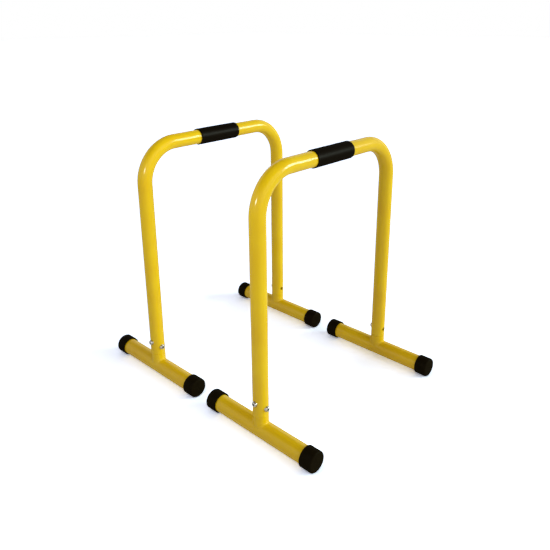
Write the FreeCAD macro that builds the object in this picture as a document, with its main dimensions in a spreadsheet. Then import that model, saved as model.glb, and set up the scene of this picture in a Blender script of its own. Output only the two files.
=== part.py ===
import FreeCAD, Part
import math
import os

import Sketcher

# A pair of free-standing parallel bars: two identical steel stands, side by side.
#
# Each stand is one bent tube, which makes two legs and the bar, on two cross feet. A foot is a
# tube with a rubber cap on each end and a short collar and spigot welded on top. The leg slips
# over the spigot, comes down on the collar, and is held by two button-head bolts at right angles,
# each with a saddle washer outside and a weld nut inside the spigot. A foam grip is on the bar.
#
# Frame: millimetres, +Z up. The origin is on the floor at the centre of the pair, +X runs across
# the pair from the left stand to the right one, and +Y along the bars from front to rear.

SIZES = [
    ("stand_spacing", 422, "bar axis to bar axis"),
    ("leg_spacing", 516, "leg axis to leg axis on one stand"),
    ("bar_height", 680, "bar axis above the floor"),
    ("bend_radius", 103, "centreline radius of the two bends"),
    ("tube_diameter", 40, "outside of the bent tube and the collars"),
    ("tube_wall", 2, "wall of the bent tube"),
    ("seam_height", 70, "top of the collars above the floor"),
    ("seam_gap", 0.4, "gap between a leg's end and its collar"),
    ("edge_break", 0.6, "chamfer on both edges of the seam"),
    ("foot_diameter", 46, "outside of a foot tube"),
    ("foot_wall", 2, "wall of a foot tube"),
    ("foot_length", 361, "a foot's length over its two caps"),
    ("weld_radius", 4, "throat of the weld under a collar"),
    ("core_length", 90, "foot tube's core that a collar is filleted on, then cut away"),
    ("cap_diameter", 54, "outside of a cap, which stands on the floor"),
    ("cap_depth", 35, "a cap's outside length"),
    ("cap_end", 4, "a cap's end wall"),
    ("cap_rounding", 4.5, "rounding of a cap's outer end"),
    ("cap_lip", 1.2, "rounding of a cap's mouth"),
    ("grip_diameter", 46, "outside of the foam grip"),
    ("grip_length", 143, "length of the foam grip"),
    ("grip_rounding", 0.8, "rounding of the grip's outer ends"),
    ("fit_gap", 0.05, "radial room between two pieces that are pressed, clamped or welded"),
    ("spigot_diameter", 35.4, "outside of the spigot inside a leg"),
    ("spigot_wall", 2.4, "wall of the spigot"),
    ("spigot_top", 140, "top of the spigot above the floor"),
    ("face_bolt_height", 108, "the bolt that faces along the bar"),
    ("side_bolt_height", 93, "the bolt that faces across the bar"),
    ("hole_diameter", 8.6, "bolt holes in the leg and the spigot"),
    ("open_hole_diameter", 11, "hole across from a side bolt, left open"),
    ("head_diameter", 14, "button head of an M8 bolt"),
    ("head_height", 4.4, "height of the button head"),
    ("head_rounding", 3.3, "rounding that makes the head's dome"),
    ("shank_diameter", 7.8, "thread of the bolt, cut to its mean size"),
    ("shank_length", 16, "under the head"),
    ("shank_point", 0.8, "chamfer at the bolt's end"),
    ("socket_across", 5, "hexagon socket across its flats"),
    ("socket_depth", 2.6, "depth of the hexagon socket"),
    ("washer_diameter", 15, "outside of a saddle washer"),
    ("washer_crown", 1.5, "a saddle washer's least thickness"),
    ("nut_across", 13, "weld nut across its flats"),
    ("nut_depth", 8, "weld nut along the bolt, at its middle"),
    ("nut_bore", 7.9, "thread of the weld nut, cut to its mean size"),
]

START, END, CENTRE = 1, 2, 3  # the points of a line or circle in a sketch
ORIGIN = (-1, 1)  # the sketch's own origin
ACROSS_AXIS, UP_AXIS = -1, -2  # its horizontal and vertical axes
EDGE_POINTS = 7  # points tested on each edge
CLOSE = 0.01  # how near a measured edge lies to the edge that is looked for
HEXAGON = 6  # sides of a nut and of a bolt's socket

FOOT_AXIS = "Size.cap_diameter / 2"
LEG_RADIUS = "Size.tube_diameter / 2"
LEG_SIDE = "Size.leg_spacing / 2"
SADDLE = "Size.foot_diameter + 2 * Size.fit_gap"
LEG_END = "Size.seam_height + Size.seam_gap"
BOLT_SEAT = "Size.tube_diameter / 2 + Size.washer_crown"
NUT_SEAT = "Size.spigot_diameter / 2 - Size.spigot_wall - Size.fit_gap"

STANDS = {"left": -1, "right": 1}
CORNERS = {"front": (-1, 0), "rear": (1, 180)}  # side of the bar's middle, turn about +Z
BOLTS = {"face": -90, "side": 0}  # direction of each bolt at a front leg, about +Z

doc = FreeCAD.newDocument("parallel_bars")
sheet = doc.addObject("Spreadsheet::Sheet", "Size")
subparts = []


def fill_sheet():
    """Write the driving dimensions, each with its alias and its meaning."""
    for row, (alias, value, meaning) in enumerate(SIZES, start=1):
        sheet.set(f"A{row}", meaning)
        sheet.set(f"B{row}", str(value))
        sheet.setAlias(f"B{row}", alias)
    doc.recompute()


def amount(formula):
    """The present value of a formula over the sheet."""
    return float(sheet.evalExpression(formula))


def place(item, stand, along="0", height="0", turn=0):
    """Put a finished sub-part on its stand and keep it for export."""
    item.Label = item.Name
    item.Placement.Rotation = FreeCAD.Rotation(FreeCAD.Vector(0, 0, 1), turn)
    item.setExpression("Placement.Base.x", f"{STANDS[stand]} * Size.stand_spacing / 2")
    item.setExpression("Placement.Base.y", along)
    item.setExpression("Placement.Base.z", height)
    subparts.append(item)


def place_at_corner(item, stand, corner, height, turn=0):
    """Put a sub-part at a leg: the rear of a stand is its front turned half a turn."""
    side, corner_turn = CORNERS[corner]
    place(item, stand, f"{side} * Size.leg_spacing / 2", height, corner_turn + turn)


# ---- sketches ----------------------------------------------------------------------------


def new_sketch(body, name, plane, offset="0"):
    """A sketch on one of the body's own origin planes, moved along the plane's normal."""
    sketch = body.newObject("Sketcher::SketchObject", f"{body.Name}_{name}")
    support = next(item for item in body.Origin.OriginFeatures if item.Role == plane)
    sketch.AttachmentSupport = (support, [""])
    sketch.MapMode = "FlatFace"
    sketch.setExpression("AttachmentOffset.Base.z", offset)
    return sketch


def dimension(sketch, kind, where, formula):
    """Add one dimension to a sketch and bind it to the sheet."""
    index = sketch.addConstraint(Sketcher.Constraint(kind, *where, amount(formula)))
    sketch.setExpression(f"Constraints[{index}]", formula)


def fix_point(sketch, geometry, point, across, up):
    """Hold a point at its distances from the sketch's origin."""
    if across == "0":
        sketch.addConstraint(Sketcher.Constraint("PointOnObject", geometry, point, UP_AXIS))
    else:
        dimension(sketch, "DistanceX", (*ORIGIN, geometry, point), across)
    if up == "0":
        sketch.addConstraint(Sketcher.Constraint("PointOnObject", geometry, point, ACROSS_AXIS))
    else:
        dimension(sketch, "DistanceY", (*ORIGIN, geometry, point), up)


def add_circle(sketch, diameter, across="0", up="0"):
    """A circle of a bound diameter about a bound centre."""
    centre = FreeCAD.Vector(amount(across), amount(up), 0)
    circle = sketch.addGeometry(Part.Circle(centre, FreeCAD.Vector(0, 0, 1), amount(diameter) / 2))
    fix_point(sketch, circle, CENTRE, across, up)
    dimension(sketch, "Diameter", (circle,), diameter)


def add_outline(sketch, corners):
    """A closed outline of straight lines through bound corners."""
    points = [FreeCAD.Vector(amount(across), amount(up), 0) for across, up in corners]
    ends = points[1:] + points[:1]
    lines = [sketch.addGeometry(Part.LineSegment(*pair)) for pair in zip(points, ends)]
    for line, after, corner in zip(lines, lines[1:] + lines[:1], corners):
        sketch.addConstraint(Sketcher.Constraint("Coincident", line, END, after, START))
        fix_point(sketch, line, START, *corner)


def add_hexagon(sketch, across_flats):
    """A regular hexagon about the sketch's origin, with two flats across the vertical axis."""
    radius = f"{across_flats} / (2 * cos(30 deg))"
    size = amount(radius)
    circle = sketch.addGeometry(Part.Circle(FreeCAD.Vector(), FreeCAD.Vector(0, 0, 1), size), True)
    sketch.addConstraint(Sketcher.Constraint("Coincident", circle, CENTRE, *ORIGIN))
    dimension(sketch, "Radius", (circle,), radius)
    angles = [2 * math.pi * step / HEXAGON for step in range(HEXAGON)]
    points = [FreeCAD.Vector(math.cos(angle), math.sin(angle), 0) * size for angle in angles]
    ends = points[1:] + points[:1]
    lines = [sketch.addGeometry(Part.LineSegment(*pair)) for pair in zip(points, ends)]
    for line, after in zip(lines, lines[1:] + lines[:1]):
        sketch.addConstraint(Sketcher.Constraint("Coincident", line, END, after, START))
        sketch.addConstraint(Sketcher.Constraint("PointOnObject", line, START, circle))
    for line in lines[1:]:
        sketch.addConstraint(Sketcher.Constraint("Equal", lines[0], line))
    sketch.addConstraint(Sketcher.Constraint("Horizontal", lines[1]))


def add_bent_path(sketch):
    """The centreline of the bent tube: up the front leg, along the bar and down the rear leg."""
    half = amount("Size.leg_spacing / 2")
    foot = amount(LEG_END)
    top = amount("Size.bar_height")
    bend = amount("Size.bend_radius")
    upright, normal = FreeCAD.Vector(0, 0, 1), top - bend
    front_half = [(-half, foot), (-half, normal), (bend - half, top)]
    rear_half = [(half - bend, top), (half, normal), (half, foot)]
    points = [FreeCAD.Vector(across, up, 0) for across, up in front_half + rear_half]
    front = Part.Circle(FreeCAD.Vector(bend - half, normal, 0), upright, bend)
    rear = Part.Circle(FreeCAD.Vector(half - bend, normal, 0), upright, bend)
    front_leg = sketch.addGeometry(Part.LineSegment(points[0], points[1]))
    front_bend = sketch.addGeometry(Part.ArcOfCircle(front, math.pi / 2, math.pi))
    bar = sketch.addGeometry(Part.LineSegment(points[2], points[3]))
    rear_bend = sketch.addGeometry(Part.ArcOfCircle(rear, 0, math.pi / 2))
    rear_leg = sketch.addGeometry(Part.LineSegment(points[4], points[5]))
    for first, second in (
        ((front_leg, END), (front_bend, END)),
        ((front_bend, START), (bar, START)),
        ((bar, END), (rear_bend, END)),
        ((rear_bend, START), (rear_leg, START)),
    ):
        sketch.addConstraint(Sketcher.Constraint("Tangent", *first, *second))
    for leg in (front_leg, rear_leg):
        sketch.addConstraint(Sketcher.Constraint("Vertical", leg))
    sketch.addConstraint(Sketcher.Constraint("Horizontal", bar))
    for arc in (front_bend, rear_bend):
        dimension(sketch, "Radius", (arc,), "Size.bend_radius")
    fix_point(sketch, front_leg, START, "-Size.leg_spacing / 2", LEG_END)
    fix_point(sketch, rear_leg, END, "Size.leg_spacing / 2", LEG_END)
    dimension(sketch, "DistanceY", (*ORIGIN, bar, START), "Size.bar_height")


# ---- features ----------------------------------------------------------------------------


def new_body(name):
    """An empty body for one sub-part."""
    return doc.addObject("PartDesign::Body", name)


def new_feature(body, kind, sketch, **settings):
    """A sketch-based feature, with the settings that aren't bound to the sheet."""
    feature = body.newObject(f"PartDesign::{kind}", f"{sketch.Name}_{kind}")
    feature.Profile = sketch
    for name, value in settings.items():
        setattr(feature, name, value)
    return feature


def pad(body, sketch, length, midplane=False):
    """Add a prism of a bound length."""
    feature = new_feature(body, "Pad", sketch, Midplane=midplane)
    feature.setExpression("Length", length)
    doc.recompute()


def revolve(body, sketch):
    """Add a full turn about the sketch's horizontal axis."""
    new_feature(body, "Revolution", sketch, ReferenceAxis=(sketch, ["H_Axis"]), Angle=360)
    doc.recompute()


def pocket(body, sketch, length=None, **settings):
    """Cut a sketch out of the body, all through unless a length is given, and check the cut."""
    before = body.Shape.Volume
    reach = "Length" if length else "ThroughAll"
    feature = new_feature(body, "Pocket", sketch, Type=reach, **settings)
    if length:
        feature.setExpression("Length", length)
    doc.recompute()
    if body.Shape.Volume > before - CLOSE:
        raise RuntimeError(f"{feature.Name} cut nothing")


def soften(body, kind, size, wanted):
    """Fillet or chamfer those edges of the body whose points all pass a test."""
    base = body.Tip
    edges = [
        f"Edge{index}"
        for index, edge in enumerate(base.Shape.Edges, start=1)
        if all(wanted(point) for point in edge.discretize(EDGE_POINTS))
    ]
    if not edges:
        raise RuntimeError(f"{body.Name} has no edge to soften")
    feature = body.newObject(f"PartDesign::{kind}", f"{base.Name}_{kind}")
    feature.Base = (base, edges)
    feature.setExpression("Radius" if kind == "Fillet" else "Size", size)
    doc.recompute()


def near(value, formula):
    """Whether a measured value is the one that a formula gives."""
    return abs(value - amount(formula)) < CLOSE


def around(across, up, formula):
    """Whether a point is at a formula's distance from an axis, given its two offsets from it."""
    return near(math.hypot(across, up), formula)


# ---- the bent tube and its grip ----------------------------------------------------------


def make_bar_tube(stand):
    """The bent tube, drilled for its bolts, with an open hole across from each side bolt."""
    body = new_body(f"{stand}_bar_tube")
    path = new_sketch(body, "path", "YZ_Plane")
    add_bent_path(path)
    section = new_sketch(body, "section", "XY_Plane", LEG_END)
    for diameter in ("Size.tube_diameter", "Size.tube_diameter - 2 * Size.tube_wall"):
        add_circle(section, diameter, up=f"-{LEG_SIDE}")
    doc.recompute()
    edges = [f"Edge{index}" for index in range(1, path.GeometryCount + 1)]
    new_feature(body, "AdditivePipe", section, Spine=(path, edges))
    doc.recompute()
    soften(
        body,
        "Chamfer",
        "Size.edge_break",
        lambda p: near(p.z, LEG_END) and around(p.x, abs(p.y) - amount(LEG_SIDE), LEG_RADIUS),
    )
    side_holes = new_sketch(body, "side_holes", "YZ_Plane")
    for side in (-1, 1):
        across = f"{side} * {LEG_SIDE}"
        add_circle(side_holes, "Size.hole_diameter", across, "Size.side_bolt_height")
    pocket(body, side_holes, Midplane=True)
    for corner, (side, _) in CORNERS.items():
        opening = new_sketch(body, f"{corner}_open_hole", "YZ_Plane")
        across = f"{side} * {LEG_SIDE}"
        add_circle(opening, "Size.open_hole_diameter", across, "Size.side_bolt_height")
        pocket(body, opening, "Size.tube_diameter", Reversed=side > 0)
        hole = new_sketch(body, f"{corner}_face_hole", "XZ_Plane", f"{-side} * {LEG_SIDE}")
        add_circle(hole, "Size.hole_diameter", up="Size.face_bolt_height")
        pocket(body, hole, "Size.tube_diameter", Reversed=side < 0)
    place(body, stand)


def make_grip(stand):
    """The foam sleeve at the middle of the bar."""
    body = new_body(f"{stand}_grip")
    section = new_sketch(body, "section", "XZ_Plane")
    for diameter in ("Size.grip_diameter", "Size.tube_diameter + 2 * Size.fit_gap"):
        add_circle(section, diameter)
    pad(body, section, "Size.grip_length", midplane=True)
    soften(body, "Fillet", "Size.grip_rounding", lambda p: around(p.x, p.z, "Size.grip_diameter / 2"))
    place(body, stand, height="Size.bar_height")


# ---- the feet ----------------------------------------------------------------------------


def make_foot_tube(stand, corner):
    """The tube that lies across the pair, a cap's end wall short at each end."""
    body = new_body(f"{stand}_{corner}_foot_tube")
    section = new_sketch(body, "section", "YZ_Plane")
    for diameter in ("Size.foot_diameter", "Size.foot_diameter - 2 * Size.foot_wall"):
        add_circle(section, diameter)
    pad(body, section, "Size.foot_length - 2 * Size.cap_end", midplane=True)
    place_at_corner(body, stand, corner, FOOT_AXIS)


def make_cap(stand, corner, end):
    """A moulded rubber cup over one end of a foot tube, made with its end wall towards +X."""
    body = new_body(f"{stand}_{corner}_{end}_cap")
    mouth = "Size.foot_length / 2 - Size.cap_depth"
    bottom = "Size.foot_length / 2 - Size.cap_end"
    bore = "Size.foot_diameter / 2 + Size.fit_gap"
    outline = new_sketch(body, "outline", "XZ_Plane")
    corners = [
        (mouth, bore),
        (mouth, "Size.cap_diameter / 2"),
        ("Size.foot_length / 2", "Size.cap_diameter / 2"),
        ("Size.foot_length / 2", "0"),
        (bottom, "0"),
        (bottom, bore),
    ]
    add_outline(outline, corners)
    revolve(body, outline)

    def on_rim(place_along):
        return lambda p: near(p.x, place_along) and around(p.y, p.z, "Size.cap_diameter / 2")

    soften(body, "Fillet", "Size.cap_rounding", on_rim("Size.foot_length / 2"))
    soften(body, "Fillet", "Size.cap_lip", on_rim(mouth))
    faces_outwards = (end == "outer") == (stand == "right")
    points_plus = faces_outwards == (corner == "front")
    place_at_corner(body, stand, corner, FOOT_AXIS, 0 if points_plus else 180)


def make_collar(stand, corner):
    """The short ring welded on the foot, which the leg stands on, with its weld around it."""
    body = new_body(f"{stand}_{corner}_collar")
    core = new_sketch(body, "foot_core", "YZ_Plane")
    add_circle(core, "Size.foot_diameter")
    pad(body, core, "Size.core_length", midplane=True)
    ring = new_sketch(body, "ring", "XY_Plane")
    add_circle(ring, "Size.tube_diameter")
    pad(body, ring, f"Size.seam_height - {FOOT_AXIS}")
    soften(
        body,
        "Fillet",
        "Size.weld_radius",
        lambda p: around(p.x, p.y, LEG_RADIUS) and around(p.y, p.z, "Size.foot_diameter / 2"),
    )
    soften(
        body,
        "Chamfer",
        "Size.edge_break",
        lambda p: around(p.x, p.y, LEG_RADIUS) and near(p.z, f"Size.seam_height - {FOOT_AXIS}"),
    )
    clear_saddle(body)
    bore = new_sketch(body, "bore", "XY_Plane")
    add_circle(bore, "Size.spigot_diameter + 2 * Size.fit_gap")
    pocket(body, bore, Midplane=True)
    place_at_corner(body, stand, corner, FOOT_AXIS)


def clear_saddle(body):
    """Cut the foot tube's own space out of what is welded on it."""
    saddle = new_sketch(body, "saddle", "YZ_Plane")
    add_circle(saddle, SADDLE)
    pocket(body, saddle, Midplane=True)


def make_spigot(stand, corner):
    """The inner tube welded on the foot, which the leg slips over, drilled as the leg is."""
    body = new_body(f"{stand}_{corner}_spigot")
    section = new_sketch(body, "section", "XY_Plane")
    for diameter in ("Size.spigot_diameter", "Size.spigot_diameter - 2 * Size.spigot_wall"):
        add_circle(section, diameter)
    pad(body, section, f"Size.spigot_top - {FOOT_AXIS}")
    clear_saddle(body)
    side_hole = new_sketch(body, "side_hole", "YZ_Plane")
    add_circle(side_hole, "Size.hole_diameter", up=f"Size.side_bolt_height - {FOOT_AXIS}")
    pocket(body, side_hole, Midplane=True)
    opening = new_sketch(body, "open_hole", "YZ_Plane")
    add_circle(opening, "Size.open_hole_diameter", up=f"Size.side_bolt_height - {FOOT_AXIS}")
    pocket(body, opening, "Size.tube_diameter")
    face_hole = new_sketch(body, "face_hole", "XZ_Plane")
    add_circle(face_hole, "Size.hole_diameter", up=f"Size.face_bolt_height - {FOOT_AXIS}")
    pocket(body, face_hole, "Size.tube_diameter", Reversed=True)
    place_at_corner(body, stand, corner, FOOT_AXIS)


# ---- the fasteners, each made along +X from the leg's axis ---------------------------------


def make_bolt(stand, corner, bolt):
    """A button-head bolt with a hexagon socket."""
    body = new_body(f"{stand}_{corner}_{bolt}_bolt")
    tip = f"{BOLT_SEAT} - Size.shank_length"
    top = f"{BOLT_SEAT} + Size.head_height"
    shank = "Size.shank_diameter / 2"
    outline = new_sketch(body, "outline", "XZ_Plane")
    corners = [
        (tip, "0"),
        (tip, f"{shank} - Size.shank_point"),
        (f"{tip} + Size.shank_point", shank),
        (BOLT_SEAT, shank),
        (BOLT_SEAT, "Size.head_diameter / 2"),
        (top, "Size.head_diameter / 2"),
        (top, "0"),
    ]
    add_outline(outline, corners)
    revolve(body, outline)
    soften(
        body,
        "Fillet",
        "Size.head_rounding",
        lambda p: near(p.x, top) and around(p.y, p.z, "Size.head_diameter / 2"),
    )
    socket = new_sketch(body, "socket", "YZ_Plane", top)
    add_hexagon(socket, "Size.socket_across")
    pocket(body, socket, "Size.socket_depth")
    place_at_corner(body, stand, corner, f"Size.{bolt}_bolt_height", BOLTS[bolt])


def add_solid(kind, name, turn=None, along="0", **formulas):
    """A Part primitive or boolean, its sizes bound, its axis along +X unless no turn is given."""
    solid = doc.addObject(f"Part::{kind}", name)
    for size, formula in formulas.items():
        solid.setExpression(size, formula)
    if turn is not None:
        solid.Placement.Rotation = FreeCAD.Rotation(FreeCAD.Vector(0, 1, 0), 90) * turn
    solid.setExpression("Placement.Base.x", along)
    return solid


def combine(kind, name, first, second):
    """A Part boolean of two solids."""
    result = doc.addObject(f"Part::{kind}", name)
    result.Base = first
    result.Tool = second
    return result


def make_washer(stand, corner, bolt):
    """A saddle washer: flat under the bolt's head, hollowed to the leg on its other side."""
    name = f"{stand}_{corner}_{bolt}_washer"
    straight = FreeCAD.Rotation()
    disc = add_solid(
        "Cylinder",
        f"{name}_disc",
        straight,
        Radius="Size.washer_diameter / 2",
        Height=BOLT_SEAT,
    )
    hole = add_solid(
        "Cylinder",
        f"{name}_hole",
        straight,
        Radius="Size.hole_diameter / 2",
        Height=f"2 * ({BOLT_SEAT})",
    )
    leg = add_solid(
        "Cylinder",
        f"{name}_leg",
        Radius=f"{LEG_RADIUS} + Size.fit_gap",
        Height="2 * Size.washer_diameter",
    )
    leg.setExpression("Placement.Base.z", "-Size.washer_diameter")
    washer = combine("Cut", name, combine("Cut", f"{name}_ring", disc, hole), leg)
    place_at_corner(washer, stand, corner, f"Size.{bolt}_bolt_height", BOLTS[bolt])


def make_nut(stand, corner, bolt):
    """A weld nut inside the spigot, its base rounded to the spigot's wall."""
    name = f"{stand}_{corner}_{bolt}_weld_nut"
    prism = add_solid(
        "Prism",
        f"{name}_hexagon",
        FreeCAD.Rotation(FreeCAD.Vector(0, 0, 1), 30),
        along=f"{NUT_SEAT} - Size.nut_depth",
        Circumradius="Size.nut_across / (2 * cos(30 deg))",
        Height="2 * Size.nut_depth",
    )
    prism.Polygon = HEXAGON
    wall = add_solid("Cylinder", f"{name}_wall", Radius=NUT_SEAT, Height="2 * Size.nut_across")
    wall.setExpression("Placement.Base.z", "-Size.nut_across")
    bore = add_solid(
        "Cylinder",
        f"{name}_thread",
        FreeCAD.Rotation(),
        Radius="Size.nut_bore / 2",
        Height="2 * Size.nut_across",
    )
    nut = combine("Cut", name, combine("Common", f"{name}_blank", prism, wall), bore)
    place_at_corner(nut, stand, corner, f"Size.{bolt}_bolt_height", BOLTS[bolt])


# ---- the pair ----------------------------------------------------------------------------


def make_foot(stand, corner):
    """One foot with all that is on it."""
    make_foot_tube(stand, corner)
    make_collar(stand, corner)
    make_spigot(stand, corner)
    for end in ("inner", "outer"):
        make_cap(stand, corner, end)
    for bolt in BOLTS:
        make_bolt(stand, corner, bolt)
        make_washer(stand, corner, bolt)
        make_nut(stand, corner, bolt)


def check_model():
    """Stop at an object that failed or a sub-part that isn't one valid solid."""
    for item in doc.Objects:
        if {"Invalid", "Error"} & set(item.State):
            raise RuntimeError(f"{item.Name} is {item.State}")
    for item in subparts:
        shape = item.Shape
        if shape.isNull() or not shape.isValid() or len(shape.Solids) != 1:
            raise RuntimeError(f"{item.Label} isn't one valid solid")


def main():
    """Build both stands and write each sub-part's file."""
    fill_sheet()
    for stand in STANDS:
        make_bar_tube(stand)
        make_grip(stand)
        for corner in CORNERS:
            make_foot(stand, corner)
    doc.recompute()
    check_model()
    os.makedirs("parts", exist_ok=True)
    for item in subparts:
        item.Shape.exportStep(f"parts/{item.Label}.step")
    print(f"{len(subparts)} sub-parts")


main()
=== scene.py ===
"""A pair of free-standing dip stands in powder-coated steel tube, dressed round its CAD frame.

Sizes in the classes are millimetres, as on a workshop drawing. Meshes are metres, in the frame's
own coordinates: +X across the pair, +Y along the bars from front to rear, +Z up from the floor.
"""

import logging
import math
from collections.abc import Sequence
from dataclasses import dataclass
from enum import Enum
from functools import cached_property
from typing import ClassVar

import bmesh
import bpy
from bpy.types import Light, Material, Mesh, Node, NodeSocket, NodeTree, Object
from mathutils import Matrix, Vector


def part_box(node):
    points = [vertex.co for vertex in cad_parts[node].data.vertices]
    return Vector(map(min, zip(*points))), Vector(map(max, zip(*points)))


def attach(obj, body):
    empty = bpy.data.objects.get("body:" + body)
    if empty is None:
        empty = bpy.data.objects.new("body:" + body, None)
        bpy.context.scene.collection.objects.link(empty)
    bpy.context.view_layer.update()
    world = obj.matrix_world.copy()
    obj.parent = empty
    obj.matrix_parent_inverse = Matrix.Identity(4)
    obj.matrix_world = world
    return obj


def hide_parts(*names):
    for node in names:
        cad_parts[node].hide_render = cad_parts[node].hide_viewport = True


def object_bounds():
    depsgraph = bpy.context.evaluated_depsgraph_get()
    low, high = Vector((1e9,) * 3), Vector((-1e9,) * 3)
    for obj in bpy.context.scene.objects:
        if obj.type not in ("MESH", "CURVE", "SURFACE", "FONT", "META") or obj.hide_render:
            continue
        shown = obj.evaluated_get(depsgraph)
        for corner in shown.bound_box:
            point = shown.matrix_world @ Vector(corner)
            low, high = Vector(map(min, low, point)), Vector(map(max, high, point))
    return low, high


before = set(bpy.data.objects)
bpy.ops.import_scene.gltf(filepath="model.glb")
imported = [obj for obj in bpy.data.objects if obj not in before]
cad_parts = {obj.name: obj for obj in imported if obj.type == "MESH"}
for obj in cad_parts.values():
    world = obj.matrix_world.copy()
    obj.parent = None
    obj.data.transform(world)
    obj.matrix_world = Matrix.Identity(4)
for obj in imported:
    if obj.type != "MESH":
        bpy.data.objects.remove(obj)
cad_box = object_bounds()

log = logging.getLogger("dip_stands")

MM = 0.001
FULL_TURN = 2 * math.pi
SEAM = 0.002 * MM  # vertices closer than this are one
CREASE = math.radians(32)  # a steeper edge is drawn sharp
UP = Vector((0, 0, 1))
# painted shade: this attribute says how much shade is painted on a point, most deep in recesses
PAINTED_SHADE = "recess"  # mesh attribute: how deep in a recess a point lies, 0 to 1
AROUND = "around"  # mesh attribute: how far round a weld a point lies, 0 to 1
ACROSS = "across"  # mesh attribute: how far across a weld a point lies, 0 to 1, or OFF_WELD
OFF_WELD, MIDWAY = -1.0, 0.5
FACING = "facing"  # mesh attribute: which way the fitting on a seat points

Linear = tuple[float, float, float, float]
Profile = list[tuple[float, float]]  # millimetres along an axis and out from it
Link = Node | NodeSocket
Values = dict[str, object]


# ---- names -------------------------------------------------------------------------------


class Slot(Enum):
    """The record's material slots."""

    COAT = "yellow_coat"
    FOAM = "black_foam"
    RUBBER = "black_rubber"
    ZINC = "zinc_steel"


class Stand(Enum):
    """The two stands, each a body of the CAD frame."""

    RIGHT = "right"
    LEFT = "left"

    @property
    def body(self) -> str:
        """The CAD body that this stand's pieces ride on."""
        return f"{self.value}_stand"

    def node(self, *words: Enum | str) -> str:
        """The name of one of this stand's CAD nodes or pieces."""
        return "_".join([self.value] + [w.value if isinstance(w, Enum) else w for w in words])


class Corner(Enum):
    """The two feet of a stand."""

    FRONT = "front"
    REAR = "rear"


class End(Enum):
    """The two ends of a foot."""

    INNER = "inner"
    OUTER = "outer"


class Bolt(Enum):
    """The two bolts of a leg: one faces along the bar and one across the pair."""

    FACE = "face"
    SIDE = "side"


@dataclass(frozen=True)
class Extent:
    """The box of a CAD node at rest, in metres."""

    low: Vector
    high: Vector

    @property
    def centre(self) -> Vector:
        """The middle of the box."""
        return (self.low + self.high) / 2

    @property
    def size(self) -> Vector:
        """The box's three edges."""
        return self.high - self.low


# ---- nodes and colours -------------------------------------------------------------------


def add_node(
    tree: NodeTree,
    kind: str,
    inputs: dict[str | int, object] | None = None,
    **settings: object,
) -> Node:
    """Add a node, set its properties, and set or link its inputs.

    Args:
        tree: The node tree that gets the node.
        kind: The node's type name.
        inputs: Its inputs, by name or place. A node or socket is linked, each item of a list
            is linked, and anything else becomes the input's value.
        **settings: The node's own properties.

    Returns:
        The new node.
    """
    node = tree.nodes.new(kind)
    for name, value in settings.items():
        setattr(node, name, value)
    for key, value in (inputs or {}).items():
        for item in value if isinstance(value, list) else [value]:
            if isinstance(item, Node):
                item = item.outputs[0]
            if isinstance(item, NodeSocket):
                tree.links.new(item, node.inputs[key])
            else:
                node.inputs[key].default_value = item
    return node


def linear(code: str) -> Linear:
    """Turn an sRGB hex colour into the linear colour that a shader takes.

    Args:
        code: The colour, such as "#E0B010".

    Returns:
        Red, green, blue and an alpha of 1.
    """
    levels = [int(code[start : start + 2], 16) / 255 for start in (1, 3, 5)]
    parts = [v / 12.92 if v <= 0.04045 else ((v + 0.055) / 1.055) ** 2.4 for v in levels]
    return (*parts, 1.0)


def per_metre(millimetres: float) -> float:
    """A texture's scale on coordinates in metres, from the size of one of its features."""
    return 1 / (millimetres * MM)


# ---- finishes ----------------------------------------------------------------------------

COLOUR_A, COLOUR_B, COLOUR_OUT = 6, 7, 2  # a Mix node's colour inputs and output


class Grain(Enum):
    """The kinds of texture."""

    NOISE = "ShaderNodeTexNoise"
    CELLS = "ShaderNodeTexVoronoi"


@dataclass(frozen=True)
class Texture:
    """A texture of a finish, and how far it raises the skin."""

    size: float  # of one of its features
    detail: float = 2.0
    depth: float = 0.0
    grain: Grain = Grain.NOISE


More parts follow.
